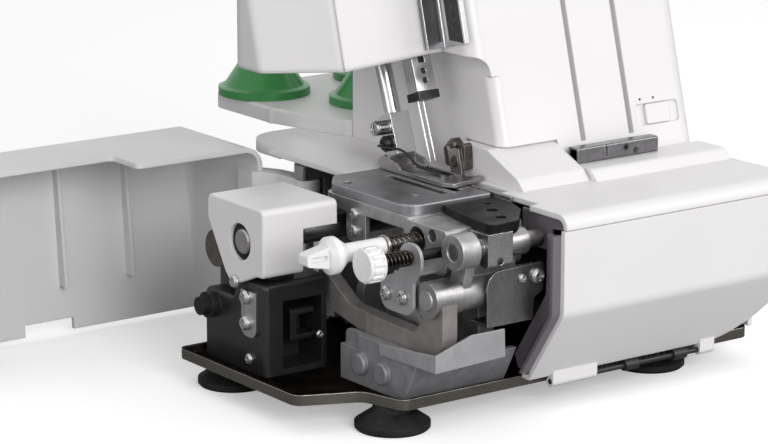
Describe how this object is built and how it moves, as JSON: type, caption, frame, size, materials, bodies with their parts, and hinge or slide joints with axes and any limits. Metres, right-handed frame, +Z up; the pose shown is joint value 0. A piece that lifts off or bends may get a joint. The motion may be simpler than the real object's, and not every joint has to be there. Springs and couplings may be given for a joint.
{
  "type": "serger overlock machine",
  "caption": "Free-standing serger overlock machine, shown with its hinged side cover swung open over the looper and knife mechanism; leaning column, spool tray behind.",
  "frame": {"origin": "Middle of the whole machine seen from above, side cover swung open, at table level under the rubber feet", "axes": "+X to the operator's right along the main shaft towards the handwheel, +Y to the back, +Z up"},
  "size_m": [0.352, 0.305, 0.285],
  "materials": {
    "white_plastic": "satin white moulding",
    "knob_white": "bright white moulding",
    "grey_plastic": "light grey moulding",
    "black_plastic": "matt black moulding",
    "nickel_plate": "dark dull plated sheet",
    "black_rubber": "matt black rubber",
    "grey_casting": "grey painted casting",
    "black_paint": "satin black paint",
    "bright_zinc": "bright zinc plated sheet",
    "satin_steel": "satin machined steel",
    "bare_aluminium": "bare die casting",
    "dark_steel": "blackened steel",
    "smoked_chrome": "smoked chrome",
    "green_plastic": "green moulding",
    "spring_steel": "dark oiled spring wire",
    "dark_casting": "dark phosphated casting"
  },
  "bodies": {
    "machine_body": {"bar_guide": "grey_casting", "base_plate": "nickel_plate", "bed_cover": "white_plastic", "chip_guard": "bright_zinc", "column_cover": "white_plastic", "cone_holders": "green_plastic", "drive_belt": "black_rubber", "face_cover": "white_plastic", "feed_cover": "white_plastic", "feed_housing": "black_paint", "frame_casting": "grey_casting", "front_casting": "bare_aluminium", "guard_plate": "bright_zinc", "guide_bracket": "bright_zinc", "head_cover": "white_plastic", "hinge_bracket": "satin_steel", "knife_bracket": "bare_aluminium", "knife_guard": "white_plastic", "knob_bracket": "bright_zinc", "looper_housing": "grey_casting", "motor": "black_paint", "needle_plate": "satin_steel", "rear_cover": "white_plastic", "right_cover": "white_plastic", "rubber_feet": "black_rubber", "screws": "bright_zinc", "spool_tray": "white_plastic", "thread_guide_bar": "smoked_chrome", "thread_guides": "smoked_chrome", "width_spring": "spring_steel"},
    "drive_shaft": {"main_shaft": "satin_steel", "handwheel": "knob_white"},
    "motor_rotor": {"motor_pulley": "satin_steel"},
    "needle_unit": {"needle_bar": "satin_steel"},
    "lower_looper_unit": {"lower_looper": "satin_steel"},
    "upper_looper_unit": {"upper_looper": "satin_steel"},
    "feed_unit": {"feed_dogs": "satin_steel"},
    "drive_arm": {"knife_drive_arm": "dark_casting"},
    "upper_knife_unit": {"upper_knife": "dark_steel"},
    "lower_knife_unit": {"knife_shaft": "satin_steel", "lower_knife": "dark_steel"},
    "width_dial": {"width_knob": "knob_white"},
    "release_slide": {"release_shaft": "satin_steel", "release_spring": "spring_steel"},
    "release_wing": {"release_knob": "knob_white"},
    "presser_unit": {"presser_bar": "satin_steel", "presser_foot": "satin_steel"},
    "presser_lifter": {"presser_lever": "black_paint"},
    "differential_dial": {"differential_knob": "knob_white"},
    "length_dial": {"stitch_length_knob": "knob_white"},
    "selector_slide": {"selector": "grey_plastic"},
    "tension_1": {"tension_dial_1": "grey_plastic"},
    "tension_2": {"tension_dial_2": "grey_plastic"},
    "tension_3": {"tension_dial_3": "grey_plastic"},
    "tension_4": {"tension_dial_4": "grey_plastic"},
    "switch_rocker": {"power_switch": "black_plastic"},
    "cover_rod": {"hinge_rod": "satin_steel"},
    "front_cover": {"looper_cover": "white_plastic"},
    "swing_cover": {"side_cover": "white_plastic"},
    "thread_pole": {"stand_pole": "grey_plastic"}
  },
  "joints": [
    {"name": "drive_shaft_turn", "type": "hinge", "parent": "machine_body", "child": "drive_shaft", "pos_m": [0, -0.0307, 0.0758], "axis": [1, 0, 0], "continuous": true},
    {"name": "motor_turn", "type": "hinge", "parent": "machine_body", "child": "motor_rotor", "pos_m": [0.09, -0.0215, 0.036], "axis": [1, 0, 0], "continuous": true},
    {"name": "needle_stroke", "type": "slide", "parent": "machine_body", "child": "needle_unit", "axis": [0, 0.342, 0.9397], "range_m": [-0.012, 0.012]},
    {"name": "lower_looper_swing", "type": "hinge", "parent": "machine_body", "child": "lower_looper_unit", "pos_m": [-0.014, -0.0515, 0.036], "axis": [0, 1, 0], "range_deg": [-8.2, 8.2]},
    {"name": "upper_looper_swing", "type": "hinge", "parent": "machine_body", "child": "upper_looper_unit", "pos_m": [0.038, -0.0515, 0.036], "axis": [0, 1, 0], "range_deg": [-8.2, 8.2]},
    {"name": "feed_stroke", "type": "slide", "parent": "machine_body", "child": "feed_unit", "axis": [0, 1, 0], "range_m": [-0.0016, 0.0016]},
    {"name": "drive_arm_rock", "type": "hinge", "parent": "machine_body", "child": "drive_arm", "pos_m": [-0.04, -0.128, 0.0634], "axis": [1, 0, 0], "range_deg": [-3.1, 3.1]},
    {"name": "upper_knife_rock", "type": "hinge", "parent": "machine_body", "child": "upper_knife_unit", "pos_m": [0.04, -0.0575, 0.107], "axis": [1, 0, 0], "range_deg": [-6.2, 6.2]},
    {"name": "cutting_width_turn", "type": "hinge", "parent": "machine_body", "child": "width_dial", "pos_m": [-0.05, -0.1195, 0.082], "axis": [1, 0, 0], "range_deg": [-183, 183]},
    {"name": "lower_knife_shift", "type": "slide", "parent": "machine_body", "child": "lower_knife_unit", "axis": [1, 0, 0], "range_m": [-0.0008, 0.0008]},
    {"name": "release_push", "type": "slide", "parent": "machine_body", "child": "release_slide", "axis": [1, 0, 0], "range_m": [0, 0.006], "stiffness_N_per_m": 300},
    {"name": "release_turn", "type": "hinge", "parent": "release_slide", "child": "release_wing", "pos_m": [-0.05, -0.1017, 0.0838], "axis": [1, 0, 0], "range_deg": [0, 45]},
    {"name": "presser_lift", "type": "slide", "parent": "machine_body", "child": "presser_unit", "axis": [0, 0.342, 0.9397], "range_m": [0, 0.006], "stiffness_N_per_m": 400, "springref_m": -0.012},
    {"name": "presser_lever_lift", "type": "hinge", "parent": "machine_body", "child": "presser_lifter", "pos_m": [0.028, 0.0245, 0.19], "axis": [1, 0, 0], "range_deg": [0, 36]},
    {"name": "differential_turn", "type": "hinge", "parent": "machine_body", "child": "differential_dial", "pos_m": [-0.05, 0.0015, 0.065], "axis": [1, 0, 0], "range_deg": [-60, 60]},
    {"name": "stitch_length_turn", "type": "hinge", "parent": "machine_body", "child": "length_dial", "pos_m": [0.15, 0.0145, 0.038], "axis": [1, 0, 0], "range_deg": [-135, 135]},
    {"name": "selector_shift", "type": "slide", "parent": "machine_body", "child": "selector_slide", "axis": [1, 0, 0], "range_m": [-0.003, 0.003]},
    {"name": "tension_1_turn", "type": "hinge", "parent": "machine_body", "child": "tension_1", "pos_m": [0.054, -0.03671, 0.238], "axis": [1, 0, 0], "range_deg": [-135, 135]},
    {"name": "tension_2_turn", "type": "hinge", "parent": "machine_body", "child": "tension_2", "pos_m": [0.084, -0.03671, 0.238], "axis": [1, 0, 0], "range_deg": [-135, 135]},
    {"name": "tension_3_turn", "type": "hinge", "parent": "machine_body", "child": "tension_3", "pos_m": [0.114, -0.03671, 0.238], "axis": [1, 0, 0], "range_deg": [-135, 135]},
    {"name": "tension_4_turn", "type": "hinge", "parent": "machine_body", "child": "tension_4", "pos_m": [0.144, -0.03671, 0.238], "axis": [1, 0, 0], "range_deg": [-135, 135]},
    {"name": "switch_rock", "type": "hinge", "parent": "machine_body", "child": "switch_rocker", "pos_m": [0.154, 0.0285, 0.08], "axis": [0, 1, 0], "range_deg": [-6, 6]},
    {"name": "front_cover_shift", "type": "slide", "parent": "machine_body", "child": "cover_rod", "axis": [1, 0, 0], "range_m": [0, 0.012]},
    {"name": "front_cover_open", "type": "hinge", "parent": "cover_rod", "child": "front_cover", "pos_m": [0.08, -0.1275, 0.013], "axis": [1, 0, 0], "range_deg": [0, 65]},
    {"name": "side_cover_close", "type": "hinge", "parent": "machine_body", "child": "swing_cover", "pos_m": [-0.006, 0.0235, 0.05], "axis": [0, 0, 1], "range_deg": [0, 90]},
    {"name": "thread_pole_rise", "type": "slide", "parent": "machine_body", "child": "thread_pole", "axis": [0, 0, 1], "range_m": [0, 0.1]}
  ],
  "couplings": [
    {"joint": "motor_turn", "follows": "drive_shaft_turn", "ratio": 1.875},
    {"joint": "lower_looper_swing", "follows": "needle_stroke", "rad_per_m": 11.636},
    {"joint": "upper_looper_swing", "follows": "needle_stroke", "rad_per_m": -11.636},
    {"joint": "feed_stroke", "follows": "needle_stroke", "ratio": 0.125},
    {"joint": "drive_arm_rock", "follows": "needle_stroke", "rad_per_m": 4.3633},
    {"joint": "upper_knife_rock", "follows": "needle_stroke", "rad_per_m": 8.7266},
    {"joint": "cutting_width_turn", "follows": "lower_knife_shift", "rad_per_m": 3927},
    {"joint": "presser_lever_lift", "follows": "presser_lift", "rad_per_m": 101.81}
  ]
}
